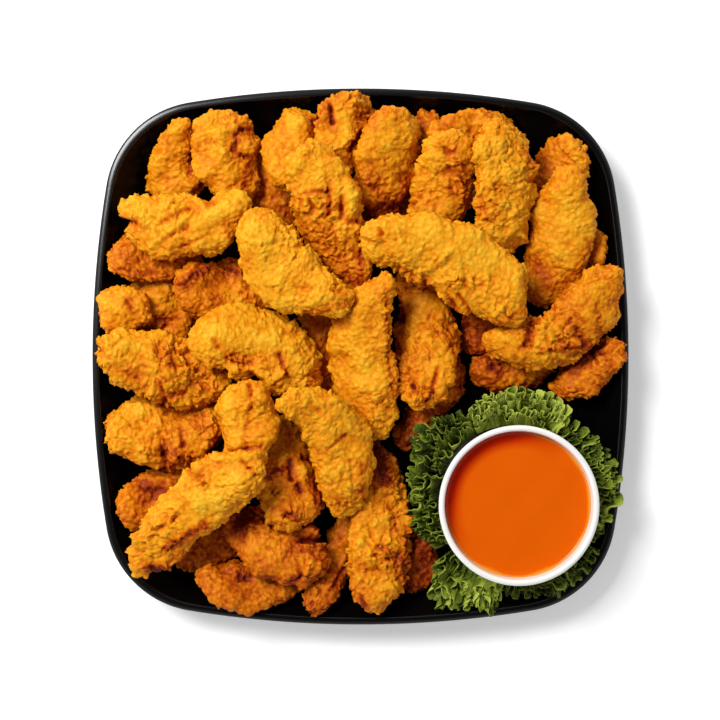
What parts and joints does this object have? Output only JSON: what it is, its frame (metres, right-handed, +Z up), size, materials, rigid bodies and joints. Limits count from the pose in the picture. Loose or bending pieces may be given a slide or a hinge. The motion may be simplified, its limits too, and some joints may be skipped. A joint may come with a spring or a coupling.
{
  "type": "platter of chicken tenders",
  "caption": "Breaded fried chicken tenders heaped on a black square platter, with curly kale and a white ramekin of orange dip.",
  "frame": {"origin": "under the centre of the platter's foot, on the table", "axes": "+Z up, +X to the right and +Y to the back of the platter as it is seen from the front, with the ramekin at the front right"},
  "size_m": [0.355, 0.355, 0.0722],
  "materials": {
    "platter": "glossy black melamine",
    "ramekin": "white glaze",
    "dip": "smooth wet orange sauce",
    "kale": "curly green leaf",
    "fried_crust": "craggy golden brown breading"
  },
  "bodies": {
    "root": {"platter": "platter", "ramekin": "ramekin", "dip": "dip", "kale_01": "kale", "kale_02": "kale", "kale_03": "kale", "kale_04": "kale", "kale_05": "kale", "kale_06": "kale", "tender_01": "fried_crust", "tender_02": "fried_crust", "tender_03": "fried_crust", "tender_04": "fried_crust", "tender_05": "fried_crust", "tender_06": "fried_crust", "tender_07": "fried_crust", "tender_08": "fried_crust", "tender_09": "fried_crust", "tender_10": "fried_crust", "tender_11": "fried_crust", "tender_12": "fried_crust", "tender_13": "fried_crust", "tender_14": "fried_crust", "tender_15": "fried_crust", "tender_16": "fried_crust", "tender_17": "fried_crust", "tender_18": "fried_crust", "tender_19": "fried_crust", "tender_20": "fried_crust", "tender_21": "fried_crust", "tender_22": "fried_crust", "tender_23": "fried_crust", "tender_24": "fried_crust", "tender_25": "fried_crust", "tender_26": "fried_crust", "tender_27": "fried_crust", "tender_28": "fried_crust", "tender_29": "fried_crust", "tender_30": "fried_crust", "tender_31": "fried_crust", "tender_32": "fried_crust", "tender_33": "fried_crust", "tender_34": "fried_crust", "tender_35": "fried_crust", "tender_36": "fried_crust", "tender_37": "fried_crust", "tender_38": "fried_crust", "tender_39": "fried_crust", "tender_40": "fried_crust", "tender_41": "fried_crust", "tender_42": "fried_crust", "tender_43": "fried_crust"}
  },
  "joints": []
}
